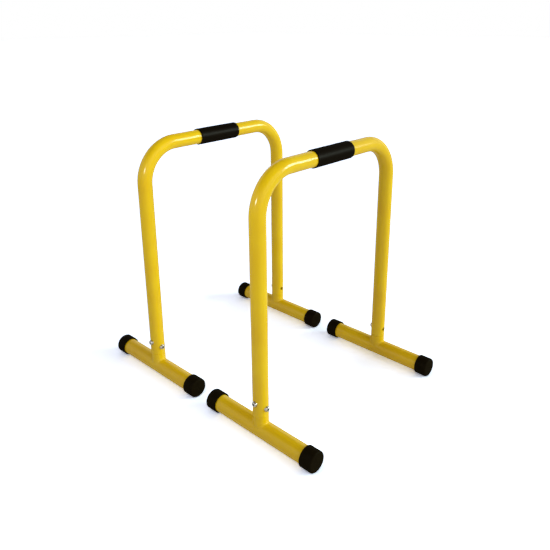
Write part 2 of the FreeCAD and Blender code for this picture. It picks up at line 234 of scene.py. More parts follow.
@dataclass(frozen=True)
class Finish:
    """What the finishes share: textures drive a skin's colour, roughness and bumps. What isn't
    metal has a matt body, of which a share is smooth and shines."""

    name: str
    textures: tuple[Texture, ...]
    colours: tuple[str, str]  # at the low and the high end of what drives them
    roughness: tuple[float, float]  # likewise
    smooth: float = 0.0  # the share that shines
    ior: float = 1.5  # of the body
    smooth_ior: float = 1.5  # of the share that shines
    metal: bool = False
    # painted shade: the colour that is painted into recesses to stand for their shade, if any
    recess: str = ""  # the colour held in recesses, if any

    def drivers(self, tree: NodeTree, *textures: Node) -> tuple[Link, Link]:
        """Say what drives the colour and the roughness: the first texture, unless overridden.

        Args:
            tree: The material's node tree.
            *textures: The nodes of the textures.

        Returns:
            What drives the colour, and what drives the roughness.
        """
        return textures[0], textures[0]

    def material(self) -> Material:
        """Build the material.

        Returns:
            The material, whose textures read Object coordinates.
        """
        material = bpy.data.materials.new(self.name)
        material.use_nodes = True
        tree = material.node_tree
        tree.nodes.clear()
        place = add_node(tree, "ShaderNodeTexCoord").outputs["Object"]
        nodes, skin = [], {}
        for texture in self.textures:
            inputs = {"Vector": place, "Scale": per_metre(texture.size), "Detail": texture.detail}
            nodes.append(add_node(tree, texture.grain.value, inputs))
            if texture.depth:
                bump = {"Height": nodes[-1], "Distance": texture.depth * MM, **skin}
                skin = {"Normal": add_node(tree, "ShaderNodeBump", bump)}
        tint, patches = self.drivers(tree, *nodes)
        low, high = (linear(code) for code in self.colours)
        base = {"Factor": tint, COLOUR_A: low, COLOUR_B: high}
        colour = add_node(tree, "ShaderNodeMix", base, data_type="RGBA").outputs[COLOUR_OUT]
        # painted shade: mix towards the shade colour by the mesh's painted-shade attribute
        if self.recess:
            depth = add_node(tree, "ShaderNodeAttribute", attribute_name=PAINTED_SHADE).outputs["Fac"]
            base = {"Factor": depth, COLOUR_A: colour, COLOUR_B: linear(self.recess)}
            colour = add_node(tree, "ShaderNodeMix", base, data_type="RGBA").outputs[COLOUR_OUT]
        low, high = self.roughness
        rough = {"Value": patches, "To Min": low, "To Max": high}
        look = {"Base Color": colour, "Roughness": add_node(tree, "ShaderNodeMapRange", rough)}
        if self.metal:
            look["Metallic"] = 1.0
        else:
            look["IOR"] = self.ior
            look["Specular IOR Level"] = 0.0
            look["Coat Weight"] = self.smooth
            look["Coat IOR"] = self.smooth_ior
            look["Coat Roughness"] = (low + high) / 2
            look["Coat Normal"] = skin["Normal"]
        surface = add_node(tree, "ShaderNodeBsdfPrincipled", look | skin)
        add_node(tree, "ShaderNodeOutputMaterial", {"Surface": surface})
        return material


@dataclass(frozen=True)
class PowderCoat(Finish):
    """Polyester powder coat, sprayed on dry and baked: a thick, even, semi-gloss skin of full
    colour. The eye sees a slow drift in its depth and a faint orange peel in its highlights."""

    name: str = "yellow powder coat"
    textures: tuple[Texture, ...] = (
        Texture(90),  # from a thicker to a thinner place
        # the orange peel, drawn coarser than its 1.5 mm, which is too fine to show
        Texture(3.2, detail=1.0, depth=0.012),
        Texture(0.7, detail=0.0, depth=0.002),  # the fused grains of powder
    )
    colours: tuple[str, str] = ("#E7BD0F", "#ECC812")
    roughness: tuple[float, float] = (0.19, 0.13)
    smooth: float = 0.68
    thin: float = 0.3  # what the first texture is where the coat is thinnest
    thick: float = 0.7

    def drivers(self, tree: NodeTree, *textures: Node) -> tuple[Link, Link]:
        """Let the depth of the coat drive both."""
        ends = {"Value": textures[0], "From Min": self.thin, "From Max": self.thick}
        return (add_node(tree, "ShaderNodeMapRange", ends),) * 2


@dataclass(frozen=True)
class ClosedCellFoam(Finish):
    """Nitrile foam, extruded and cut to length: closed cells under a thin matt skin, of which
    only the cells' tops are smooth. The eye sees a soft warm black with a dull, broad sheen and
    a fine, even pitting, whose hollows are darkened with painted shade."""

    name: str = "black nitrile foam"
    textures: tuple[Texture, ...] = (
        # the cells, drawn coarser than their 0.5 mm, which is too fine to show
        Texture(1.6, detail=0.0, depth=0.1, grain=Grain.CELLS),
        Texture(0.7, depth=0.05),  # pores
        Texture(30),  # patches
    )
    # darker where the cells dip, which is painted shade in the pits, and in random patches
    colours: tuple[str, str] = ("#080502", "#110C05")
    roughness: tuple[float, float] = (0.32, 0.42)
    smooth: float = 0.024
    ior: float = 1.45
    smooth_ior: float = 2.4
    # painted shade: the share by which the cells' hollows are drawn darker
    pit_shade: float = 0.5  # how much of a cell's shape the colour shows

    def drivers(self, tree: NodeTree, *textures: Node) -> tuple[Link, Link]:
        """Let the cells and patches drive the colour, the cells as painted shade in their hollows,
        and the pores the roughness.

        Args:
            tree: The material's node tree.
            *textures: The nodes of the cells, the pores and the patches.

        Returns:
            What drives the colour, and what drives the roughness.
        """
        cells, pores, patches = textures
        terms = {0: cells, 1: self.pit_shade, 2: patches}
        return add_node(tree, "ShaderNodeMath", terms, operation="MULTIPLY_ADD"), pores


@dataclass(frozen=True)
class MouldedRubber(Finish):
    """Black thermoplastic rubber, moulded in a spark-eroded tool: a satin skin with a very fine
    grain, of which only the tips shine. The eye sees a deep black, a soft sheen where the lamps
    are mirrored and a faint bloom."""

    name: str = "black moulded rubber"
    textures: tuple[Texture, ...] = (
        Texture(22, detail=3.0),  # patches of bloom
        # the tool's own grain, drawn coarser than its 0.1 mm, which is too fine to show
        Texture(0.8, detail=3.0, depth=0.02),
    )
    colours: tuple[str, str] = ("#120D04", "#181307")
    roughness: tuple[float, float] = (0.36, 0.5)
    smooth: float = 0.042


@dataclass(frozen=True)
class ZincPlate(Finish):
    """Bright zinc plate on turned and rolled steel, under a clear passivate: a slightly milky
    metal. The eye sees cloudy patches and fine tool marks; the dark in the sockets and under
    the heads is painted shade."""

    name: str = "bright zinc plate"
    textures: tuple[Texture, ...] = (Texture(2.5), Texture(0.5, depth=0.004))  # clouds, tool marks
    colours: tuple[str, str] = ("#AEABA5", "#DAD8D3")
    roughness: tuple[float, float] = (0.13, 0.26)
    metal: bool = True
    # painted shade: the dark laid into the sockets and under the heads
    recess: str = "#1A1816"


# ---- recipes in geometry nodes -----------------------------------------------------------


class Recipe:
    """A geometry node tree with named inputs, which makes plain meshes from source objects."""

    def __init__(self, name: str, inputs: dict[str, list[str]]) -> None:
        """Start a tree.

        Args:
            name: The tree's name.
            inputs: The names of its inputs of each type, such as "Float".
        """
        self.tree = bpy.data.node_groups.new(name, "GeometryNodeTree")
        panel = self.tree.interface
        for kind, titles in {"Geometry": ["source"], **inputs, "Material": ["finish"]}.items():
            for title in titles:
                panel.new_socket(name=title, in_out="INPUT", socket_type=f"NodeSocket{kind}")
        panel.new_socket(name="piece", in_out="OUTPUT", socket_type="NodeSocketGeometry")
        self.given = add_node(self.tree, "NodeGroupInput").outputs

    def moved(self, shape: Link, way: str, distance: Link, **more: Link) -> Node:
        """Move a shape's points, each along a direction of its own.

        Args:
            shape: The shape.
            way: The type name of the node that gives the directions.
            distance: How far each point goes.
            **more: The last node's other inputs.

        Returns:
            The node of the moved shape.
        """
        step = {"Vector": add_node(self.tree, way), "Scale": distance}
        offset = add_node(self.tree, "ShaderNodeVectorMath", step, operation="SCALE")
        inputs = {"Geometry": shape, "Offset": offset, **more}
        return add_node(self.tree, "GeometryNodeSetPosition", inputs)

    def end(self, shape: Link) -> None:
        """End the tree: real geometry with one material.

        Args:
            shape: The finished shape.
        """
        real = add_node(self.tree, "GeometryNodeRealizeInstances", {"Geometry": shape})
        inputs = {"Geometry": real, "Material": self.given["finish"]}
        dressed = add_node(self.tree, "GeometryNodeSetMaterial", inputs)
        add_node(self.tree, "NodeGroupOutput", {"piece": dressed})

    def make(self, source: Object, values: Values) -> Object:
        """Run a source through the tree and keep the result as a plain mesh.

        Args:
            source: The object that the tree starts from. It is used up, and gives its name.
            values: The tree's inputs, by name.

        Returns:
            The piece, at the origin, with its place in its mesh.
        """
        modifier = source.modifiers.new(self.tree.name, "NODES")
        modifier.node_group = self.tree
        for item in self.tree.interface.items_tree:
            if item.in_out == "INPUT" and item.name in values:
                modifier[item.identifier] = values[item.name]
        bpy.context.scene.collection.objects.link(source)
        state = bpy.context.evaluated_depsgraph_get()
        mesh = bpy.data.meshes.new_from_object(
            source.evaluated_get(state), preserve_all_data_layers=True, depsgraph=state
        )
        name = source.name
        bpy.data.objects.remove(source)
        return finished(name, mesh)


def finished(name: str, mesh: Mesh) -> Object:
    """Check a mesh, shade it and put it in the scene.

    Args:
        name: The piece's name.
        mesh: A closed mesh whose faces point outwards.

    Returns:
        The piece.
    """
    shell = bmesh.new()
    shell.from_mesh(mesh)
    if any(not edge.is_manifold for edge in shell.edges):
        raise ValueError(f"{name} isn't closed")
    if shell.calc_volume(signed=True) <= 0:
        raise ValueError(f"{name} is inside out")
    shell.free()
    mesh.name = name
    mesh.shade_smooth()
    mesh.set_sharp_from_angle(angle=CREASE)
    piece = bpy.data.objects.new(name, mesh)
    bpy.context.scene.collection.objects.link(piece)
    return piece


class TubeRecipe(Recipe):
    """Draws a tube along a path, bends it at the path's corners, hollows it and drills it."""

    def __init__(self) -> None:
        """Build the tree."""
        sizes = ["outer radius", "wall", "bend radius", "overrun"]
        counts = ["bend steps", "sides"]
        super().__init__("drawn tube", {"Float": sizes, "Int": counts, "Object": ["drills"]})
        tree, given = self.tree, self.given
        steps, bend, radius = given["bend steps"], given["bend radius"], given["outer radius"]
        corners = {"Curve": given["source"], "Count": steps, "Radius": bend}
        path = add_node(tree, "GeometryNodeFilletCurve", corners, mode="POLY")
        outer = self.swept(path, radius, add_node(tree, "GeometryNodeInputRadius"))
        terms = {0: radius, 1: given["wall"]}
        bore = add_node(tree, "ShaderNodeMath", terms, operation="SUBTRACT")
        inner = self.swept(self.lengthened(path), bore, 1.0)
        drills = add_node(tree, "GeometryNodeObjectInfo", {"Object": given["drills"]})
        solids = {"Mesh 1": outer, "Mesh 2": [inner, drills.outputs["Geometry"]]}
        cut = {"operation": "DIFFERENCE", "solver": "EXACT"}
        self.end(add_node(tree, "GeometryNodeMeshBoolean", solids, **cut))

    def swept(self, path: Link, radius: Link, girth: Link | float) -> Node:
        """A solid rod along the path.

        Args:
            path: The rod's centreline.
            radius: The rod's radius.
            girth: A share of that radius, which may vary along the path.

        Returns:
            The node of the rod's mesh.
        """
        circle = {"Resolution": self.given["sides"], "Radius": radius}
        section = add_node(self.tree, "GeometryNodeCurvePrimitiveCircle", circle)
        sweep = {"Curve": path, "Profile Curve": section, "Scale": girth, "Fill Caps": True}
        rod = {"Geometry": add_node(self.tree, "GeometryNodeCurveToMesh", sweep), "Distance": SEAM}
        return add_node(self.tree, "GeometryNodeMergeByDistance", rod)

    def lengthened(self, path: Link) -> Node:
        """The path with both ends run on, so that the bore cuts right through.

        Args:
            path: The centreline.

        Returns:
            The node of the longer path.
        """
        tree = self.tree
        both_ways = {0: add_node(tree, "GeometryNodeSplineParameter"), 1: 2.0, 2: -1.0}
        outwards = add_node(tree, "ShaderNodeMath", both_ways, operation="MULTIPLY_ADD")
        terms = {0: outwards, 1: self.given["overrun"]}
        reach = add_node(tree, "ShaderNodeMath", terms, operation="MULTIPLY")
        ends = add_node(tree, "GeometryNodeCurveEndpointSelection")
        return self.moved(path, "GeometryNodeInputTangent", reach, Selection=ends)


class TurnedRecipe(Recipe):
    """Turns a profile about an axis, puts it in place and gives its surface a slight waver."""

    NOISE_MIDDLE = 0.5  # what noise swings about

    def __init__(self) -> None:
        """Build the tree."""
        sizes = ["rim radius", "waver", "waver scale"]
        places = ["place", "facing"]
        super().__init__("turned piece", {"Float": sizes, "Int": ["sides"], "Vector": places})
        tree, given = self.tree, self.given
        circle = {"Resolution": given["sides"], "Radius": given["rim radius"]}
        rim = add_node(tree, "GeometryNodeCurvePrimitiveCircle", circle)
        sweep = {"Curve": rim, "Profile Curve": given["source"]}
        turned = {"Geometry": add_node(tree, "GeometryNodeCurveToMesh", sweep), "Distance": SEAM}
        whole = add_node(tree, "GeometryNodeMergeByDistance", turned)
        facing = {"Vector": given["facing"]}
        turn = add_node(tree, "FunctionNodeAlignRotationToVector", facing, axis="Z")
        stand = {"Geometry": whole, "Translation": given["place"], "Rotation": turn}
        placed = add_node(tree, "GeometryNodeTransform", stand)
        noise = add_node(tree, "ShaderNodeTexNoise", {"Scale": given["waver scale"]})
        terms = {0: noise, 1: self.NOISE_MIDDLE}
        swing = add_node(tree, "ShaderNodeMath", terms, operation="SUBTRACT")
        terms = {0: swing, 1: given["waver"]}
        depth = add_node(tree, "ShaderNodeMath", terms, operation="MULTIPLY")
        self.end(self.moved(placed, "GeometryNodeInputNormal", depth))

    @staticmethod
    def outline(name: str, profile: Profile, closed: bool) -> tuple[Object, float]:
        """The line that is turned.

        Args:
            name: The piece's name.
            profile: The points of its outline, from its far end back to its mouth.
            closed: Whether the outline runs back to its start, clear of the axis.

        Returns:
            The line's object, not yet in the scene, and the radius of its outermost point.
        """
        rim = max(out for _, out in profile) * MM
        points = [Vector((out * MM - rim, -along * MM, 0)) for along, out in profile]
        return line_object(name, points, closed), rim


class SeatsRecipe(Recipe):
    """Puts one fitting on every seat, turned outwards and then by a random angle."""

    MOST, ANGLE = 3, 1  # a Random Value node's upper limit and result, of the Float kind

    def __init__(self) -> None:
        """Build the tree."""
        super().__init__("fittings on seats", {"Object": ["fitting"], "Int": ["seed"]})
        tree, given = self.tree, self.given
        name, kind = {"Name": FACING}, "FLOAT_VECTOR"
        way = add_node(tree, "GeometryNodeInputNamedAttribute", name, data_type=kind)
        outwards = add_node(tree, "FunctionNodeAlignRotationToVector", {"Vector": way}, axis="Z")
        limits = {self.MOST: FULL_TURN, "Seed": given["seed"]}
        angle = add_node(tree, "FunctionNodeRandomValue", limits, data_type="FLOAT")
        about = {"Axis": UP, "Angle": angle.outputs[self.ANGLE]}
        spin = add_node(tree, "FunctionNodeAxisAngleToRotation", about)
        turns = {"Rotation": outwards, "Rotate By": spin}
        turned = add_node(tree, "FunctionNodeRotateRotation", turns, rotation_space="LOCAL")
        fitting = add_node(tree, "GeometryNodeObjectInfo", {"Object": given["fitting"]})
        shape = fitting.outputs["Geometry"]
        seats = {"Points": given["source"], "Instance": shape, "Rotation": turned}
        self.end(add_node(tree, "GeometryNodeInstanceOnPoints", seats))


class WeldRecipe(Recipe):
    """Raises the fish-scale ripples of a weld bead on a mesh that says where its weld is."""

    STEPS = (  # a result, its operation and its terms: numbers, inputs and other results
        ("middle", "MULTIPLY_ADD", ACROSS, 2.0, -1.0),
        ("bowed", "MULTIPLY", "middle", "middle"),
        ("edge", "MULTIPLY", "bowed", "bowed"),
        ("cover", "SUBTRACT", 1.0, "edge"),
        ("on weld", "GREATER_THAN", ACROSS, OFF_WELD / 2),
        ("window", "MULTIPLY", "cover", "on weld"),
        ("lag", "MULTIPLY", "bowed", "bow"),
        ("turns", "MULTIPLY_ADD", AROUND, "ripples", "lag"),
        ("phase", "MULTIPLY", "turns", FULL_TURN),
        ("wave", "SINE", "phase"),
        ("bead", "MULTIPLY_ADD", "wave", "ripple depth", "crown"),
        ("lumpy", "MULTIPLY_ADD", "noise", "lump depth", "bead"),
        ("rise", "MULTIPLY", "lumpy", "window"),
    )

    def __init__(self) -> None:
        """Build the tree."""
        sizes = ["ripples", "crown", "ripple depth", "bow", "lump scale", "lump depth"]
        super().__init__("weld bead", {"Float": sizes})
        tree, given = self.tree, self.given
        known: dict[str, Link] = {size: given[size] for size in sizes}
        for name in (AROUND, ACROSS):
            known[name] = add_node(
                tree, "GeometryNodeInputNamedAttribute", {"Name": name}, data_type="FLOAT"
            )
        known["noise"] = add_node(tree, "ShaderNodeTexNoise", {"Scale": given["lump scale"]})
        for result, operation, *terms in self.STEPS:
            inputs = {place: known.get(term, term) for place, term in enumerate(terms)}
            known[result] = add_node(tree, "ShaderNodeMath", inputs, operation=operation)
        self.end(self.moved(given["source"], "GeometryNodeInputNormal", known["rise"]))


# ---- source shapes -----------------------------------------------------------------------


def line_object(
    name: str, points: Sequence[Vector], closed: bool = False, girths: Sequence[float] = ()
) -> Object:
    """An object whose data is one line through some points.

    Args:
        name: The object's name.
        points: The points, in metres.
        closed: Whether the line runs back to its start.
        girths: The share of the full radius at each point, 1 if not given.

    Returns:
        The object, not yet in the scene.
    """
    data = bpy.data.curves.new(name, "CURVE")
    data.dimensions = "3D"
    line = data.splines.new("POLY")
    line.points.add(len(points) - 1)
    line.use_cyclic_u = closed
    for point, place, girth in zip(line.points, points, girths or [1.0] * len(points)):
        point.co = (*place, 1.0)
        point.radius = girth
    return bpy.data.objects.new(name, data)


def shell_object(name: str, shell: bmesh.types.BMesh) -> Object:
    """An object made from a shell, which is used up.

    Args:
        name: The object's name.
        shell: The shell.

    Returns:
        The object, not yet in the scene.
    """
    mesh = bpy.data.meshes.new(name)
    shell.to_mesh(mesh)
    shell.free()
    return bpy.data.objects.new(name, mesh)


def arc(
    centre: tuple[float, float], radius: float, start: float, end: float, steps: int
) -> Profile:
    """Points on an arc of a profile.

    Args:
        centre: The arc's centre, along the axis and out from it.
        radius: The arc's radius.
        start: The first angle in degrees, 0 along the axis and 90 outwards.
        end: The last angle.
        steps: The number of straight steps.

    Returns:
        The points, both ends included.
    """
    angles = [math.radians(start + (end - start) * i / steps) for i in range(steps + 1)]
    along, out = centre
    return [(along + radius * math.cos(a), out + radius * math.sin(a)) for a in angles]


@dataclass(frozen=True)
class Ring:
    """One ring of a lofted shape, round or six-sided, about the Z axis."""

    height: float
    radius: float  # of a round ring, or half its width across flats
    six_sided: bool = False
    # painted shade: how much of the shade colour this ring gets, 0 to 1
    recess: float = 0.0

    def point(self, angle: float) -> Vector:
        """Find a point of the ring.

        Args:
            angle: The point's direction in radians.

        Returns:
            The point in metres.
        """
        reach = self.radius
        if self.six_sided:
            side = FULL_TURN / 6
            reach /= math.cos((angle + side / 2) % side - side / 2)
        return Vector((reach * math.cos(angle), reach * math.sin(angle), self.height)) * MM


def lofted(name: str, rings: list[Ring], sides: int) -> Object:
    """A closed shape through rings, from the highest to the lowest, with both ends filled.

    Args:
        name: The object's name.
        rings: The rings; the painted shade of each becomes the mesh's attribute.
        sides: The number of points in a ring, a multiple of six.

    Returns:
        The object, not yet in the scene.
    """
    shell = bmesh.new()
    recess = shell.verts.layers.float.new(PAINTED_SHADE)
    angles = [FULL_TURN * step / sides for step in range(sides)]
    loops = [[shell.verts.new(ring.point(angle)) for angle in angles] for ring in rings]
    ends = [shell.verts.new((0, 0, ring.height * MM)) for ring in (rings[0], rings[-1])]
    for ring, loop in zip([*rings, rings[0], rings[-1]], [*loops, ends[:1], ends[1:]]):
        for vertex in loop:
            vertex[recess] = ring.recess
    for upper, lower in zip(loops, loops[1:]):
        for step in range(sides):
            after = (step + 1) % sides
            shell.faces.new((upper[step], lower[step], lower[after], upper[after]))
    for middle, loop, upwards in ((ends[0], loops[0], True), (ends[1], loops[-1], False)):
        for step in range(sides):
            pair = (loop[step], loop[(step + 1) % sides])
            shell.faces.new((middle, *(pair if upwards else reversed(pair))))
    return shell_object(name, shell)


def rods(name: str, lines: list[tuple[Vector, Vector, float]], sides: int) -> Object:
    """Straight rods between pairs of points, as one object.

    Args:
        name: The object's name.
        lines: Each rod's two ends, in metres, and its radius, in millimetres.
        sides: The number of faces round a rod.

    Returns:
        The object, not yet in the scene.
    """
    shell = bmesh.new()
    for start, end, radius in lines:
        along = end - start
        turn = along.to_track_quat("Z", "Y").to_matrix().to_4x4()
        bmesh.ops.create_cone(
            shell,
            cap_ends=True,
            segments=sides,
            radius1=radius * MM,
            radius2=radius * MM,
            depth=along.length,
            matrix=Matrix.Translation((start + end) / 2) @ turn,
        )
    return shell_object(name, shell)


# ---- sub-assemblies ----------------------------------------------------------------------


class Workshop:
    """What every sub-assembly is made with: the recipes and the finishes."""

    def __init__(self) -> None:
        """Build the recipes and the finishes once."""
        self.finishes = {
            Slot.COAT: PowderCoat().material(),
            Slot.FOAM: ClosedCellFoam().material(),
            Slot.RUBBER: MouldedRubber().material(),
            Slot.ZINC: ZincPlate().material(),
        }
        self.tube = TubeRecipe()
        self.turned = TurnedRecipe()
        self.seats = SeatsRecipe()
        self.weld = WeldRecipe()


@dataclass(frozen=True)
class SubAssembly:
    """A part of one stand, made in the workshop."""

    workshop: Workshop
    stand: Stand
    slot: ClassVar[Slot] = Slot.COAT

    def extent(self, *words: Enum | str) -> Extent:
        """The extent of one of the stand's CAD nodes."""
        return Extent(*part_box(self.stand.node(*words)))

    def make(self, recipe: Recipe, source: Object, values: Values) -> Object:
        """Make a piece in the finish of its slot.

        Args:
            recipe: How it is made.
            source: What it is made from. It is used up, and gives its name.
            values: The recipe's other inputs, by name.

        Returns:
            The piece.
        """
        return recipe.make(source, {**values, "finish": self.workshop.finishes[self.slot]})

    def fit(self, piece: Object, *nodes: str) -> None:
        """Let a finished piece stand for its CAD nodes and ride on its stand.

        Args:
            piece: The finished piece.
            *nodes: The CAD nodes that it stands for.
        """
        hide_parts(*nodes)
        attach(piece, self.stand.body)
        log.info("%s: %d faces, for %s", piece.name, len(piece.data.polygons), nodes)


@dataclass(frozen=True)
class FootPart(SubAssembly):
    """A part of one foot."""

    corner: Corner

    @cached_property
    def foot(self) -> Extent:
        """The extent of the foot's tube."""
        return self.extent(self.corner, "foot_tube")


@dataclass(frozen=True)
class BentBar(SubAssembly):
    """The bent tube of a stand: two legs and the bar between them, drilled for its bolts."""

    wall: float = 2
    bend_radius: float = 103
    bend_steps: int = 40
    sides: int = 96
    edge_break: float = 0.6
    hole_radius: float = 4.3
    open_hole_radius: float = 5.5  # across from a side bolt
    hole_sides: int = 40
    hole_margin: float = 6
    drill_start: float = 0.25  # in the bore: this share of the tube's width from its axis
    overrun: float = 4

    @cached_property
    def box(self) -> Extent:
        """The extent of the CAD tube."""
        return self.extent("bar_tube")

    def build(self) -> None:
        """Make the tube and fit it."""
        name = self.stand.node("bent_bar")
        drills = rods(f"{name}_drills", self.holes(), self.hole_sides)
        girths, path = zip(*self.path())
        values = {
            "outer radius": self.box.size.x / 2,
            "wall": self.wall * MM,
            "bend radius": self.bend_radius * MM,
            "bend steps": self.bend_steps,
            "sides": self.sides,
            "overrun": self.overrun * MM,
            "drills": drills,
        }
        piece = self.make(self.workshop.tube, line_object(name, path, girths=girths), values)
        bpy.data.objects.remove(drills)
        self.fit(piece, self.stand.node("bar_tube"))

    def path(self) -> list[tuple[float, Vector]]:
        """The tube's centreline with its corners square.

        Returns:
            The share of the full radius at each point, and the point. Rings lie at the ends'
            chamfers and above and below each hole.
        """
        box = self.box
        radius = box.size.x / 2
        half = box.size.y / 2 - radius
        foot, top = box.low.z, box.high.z - radius
        slim = 1 - self.edge_break * MM / radius
        margin = (self.hole_radius + self.hole_margin) * MM
        heights = {foot + self.edge_break * MM}
        for bolt in Bolt:
            hole = self.extent(Corner.FRONT, bolt, "bolt").centre.z
            heights |= {hole - margin, hole + margin}
        leg = [(slim, foot)] + [(1.0, height) for height in sorted(heights)] + [(1.0, top)]
        x, y = box.centre.x, box.centre.y
        front = [(girth, Vector((x, y - half, height))) for girth, height in leg]
        rear = [(girth, Vector((x, y + half, height))) for girth, height in reversed(leg)]
        return front + rear

    def holes(self) -> list[tuple[Vector, Vector, float]]:
        """The drilled holes: one for each bolt, and a wider one across from each side bolt.

        Returns:
            Each drill's two ends and its radius. A drill starts inside the bore and goes
            through one wall.
        """
        drills = []
        for corner in Corner:
            axis = self.extent(corner, "collar").centre
            for bolt in Bolt:
                seat = self.extent(corner, bolt, "bolt").centre
                middle = Vector((axis.x, axis.y, seat.z))
                reach = (seat - middle).normalized() * self.box.size.x
                start = reach * self.drill_start
                drills.append((middle + start, middle + reach, self.hole_radius))
                if bolt is Bolt.SIDE:
                    drills.append((middle - start, middle - reach, self.open_hole_radius))
        return drills


@dataclass(frozen=True)
class FoamGrip(SubAssembly):
    """The foam sleeve pushed over the middle of the bar."""

    slot: ClassVar[Slot] = Slot.FOAM
    rounding: float = 1.1
    rounding_steps: int = 4
    bore_rounding: float = 0.5
    rows: int = 36
    sides: int = 96
    waver: float = 0.35
    waver_size: float = 24
    bar_gap: float = 0.05
    fill: float = 0.95

    @cached_property
    def box(self) -> Extent:
        """The extent of the CAD sleeve."""
        return self.extent("grip")

    def build(self) -> None:
        """Make the sleeve and fit it."""
        turned = self.workshop.turned
        line, rim = turned.outline(self.stand.node("foam_grip"), self.profile(), closed=True)
        values = {
            "rim radius": rim,
            "sides": self.sides,
            "waver": self.waver * MM,
            "waver scale": per_metre(self.waver_size),
            "place": self.box.centre,
            "facing": Vector((0, 1, 0)),
        }
        piece = self.make(turned, line, values)
        self.fit(piece, self.stand.node("grip"))

    def profile(self) -> Profile:
        """The sleeve's outline.

        Returns:
            Its points, with those of the bore last.
        """
        half, radius = self.box.size.y / 2 / MM, self.box.size.x / 2 / MM
        bore = self.extent("bar_tube").size.x / 2 / MM + self.bar_gap
        soft, edge = self.rounding, self.bore_rounding
        run = half - soft
        far = arc((run, radius - soft), soft, 0, 90, self.rounding_steps)
        near = arc((soft - half, radius - soft), soft, 90, 180, self.rounding_steps)
        rows = [(run - 2 * run * row / self.rows, radius) for row in range(1, self.rows)]
        rim = bore + edge
        mouth = [(-half, rim), (edge - half, bore), (half - edge, bore), (half, rim)]
        return far + rows + near + mouth


@dataclass(frozen=True)
class EndCap(FootPart):
    """A moulded rubber cup pushed over one end of a foot."""

    slot: ClassVar[Slot] = Slot.RUBBER
    end: End
    end_wall: float = 4
    rounding: float = 4.5
    rounding_steps: int = 10
    lip: float = 1.2
    lip_steps: int = 5
    tube_gap: float = 0.05
    mouth_bevel: float = 0.7
    crown: float = 0.35  # how much flatter the rim is than the middle of the end
    crown_third: float = 0.45  # the share of the radius where a third of the crown is gone
    gate_radius: float = 2.2  # the moulding gate's dimple
    gate_floor: float = 0.7  # the flat share of the dimple
    gate_depth: float = 0.45
    split: float = 7  # the tool's split line, from the end
    split_width: float = 0.5
    split_depth: float = 0.12
    sides: int = 96
    waver: float = 0.05
    waver_size: float = 12

    @cached_property
    def box(self) -> Extent:
        """The extent of the CAD cap."""
        return self.extent(self.corner, self.end, "cap")

    def build(self) -> None:
        """Make the cap and fit it."""
        turned, centre = self.workshop.turned, self.box.centre
        away = math.copysign(1, centre.x - self.foot.centre.x)
        mouth = self.box.low.x if away > 0 else self.box.high.x
        name = self.stand.node(self.corner, self.end, "rubber_cap")
        line, rim = turned.outline(name, self.profile(), closed=False)
        values = {
            "rim radius": rim,
            "sides": self.sides,
            "waver": self.waver * MM,
            "waver scale": per_metre(self.waver_size),
            "place": Vector((mouth, centre.y, centre.z)),
            "facing": Vector((away, 0, 0)),
        }
        piece = self.make(turned, line, values)
        self.fit(piece, self.stand.node(self.corner, self.end, "cap"))

    def profile(self) -> Profile:
        """The cap's outline.

        Returns:
            Its points, from the middle of its end to the middle of its bottom.
        """
        depth, radius = self.box.size.x / MM, self.box.size.y / 2 / MM
        bore = self.foot.size.y / 2 / MM + self.tube_gap
        gate, soft = self.gate_radius, self.rounding
        flat = depth - self.crown
        end = [
            (depth - self.gate_depth, 0),
            (depth - self.gate_depth, gate * self.gate_floor),
            (depth, gate),
            (depth - self.crown / 3, radius * self.crown_third),
            (flat, radius - soft),
        ]
        rim = arc((flat - soft, radius - soft), soft, 0, 90, self.rounding_steps)[1:]
        groove = depth - self.split
        side = [
            (groove + self.split_width / 2, radius),
            (groove, radius - self.split_depth),
            (groove - self.split_width / 2, radius),
            (depth / 2, radius),
        ]
        lip = arc((self.lip, radius - self.lip), self.lip, 90, 180, self.lip_steps)
        bottom, bevel = depth - self.end_wall, self.mouth_bevel
        inside = [(0, bore + bevel), (bevel, bore), (bottom, bore), (bottom, 0)]
        return end + rim + side + lip + inside


@dataclass(frozen=True)
class FootTube(FootPart):
    """The straight tube of a foot."""

    wall: float = 2
    sides: int = 96
    overrun: float = 4

    def build(self) -> None:
        """Make the tube and fit it."""
        name, box = self.stand.node(self.corner, "cross_tube"), self.foot
        half = Vector((box.size.x / 2, 0, 0))
        line = line_object(name, [box.centre - half, box.centre, box.centre + half])
        values = {
            "outer radius": box.size.y / 2,
            "wall": self.wall * MM,
            "bend radius": 0.0,
            "bend steps": 1,
            "sides": self.sides,
            "overrun": self.overrun * MM,
        }
        piece = self.make(self.workshop.tube, line, values)
        self.fit(piece, self.stand.node(self.corner, "foot_tube"))


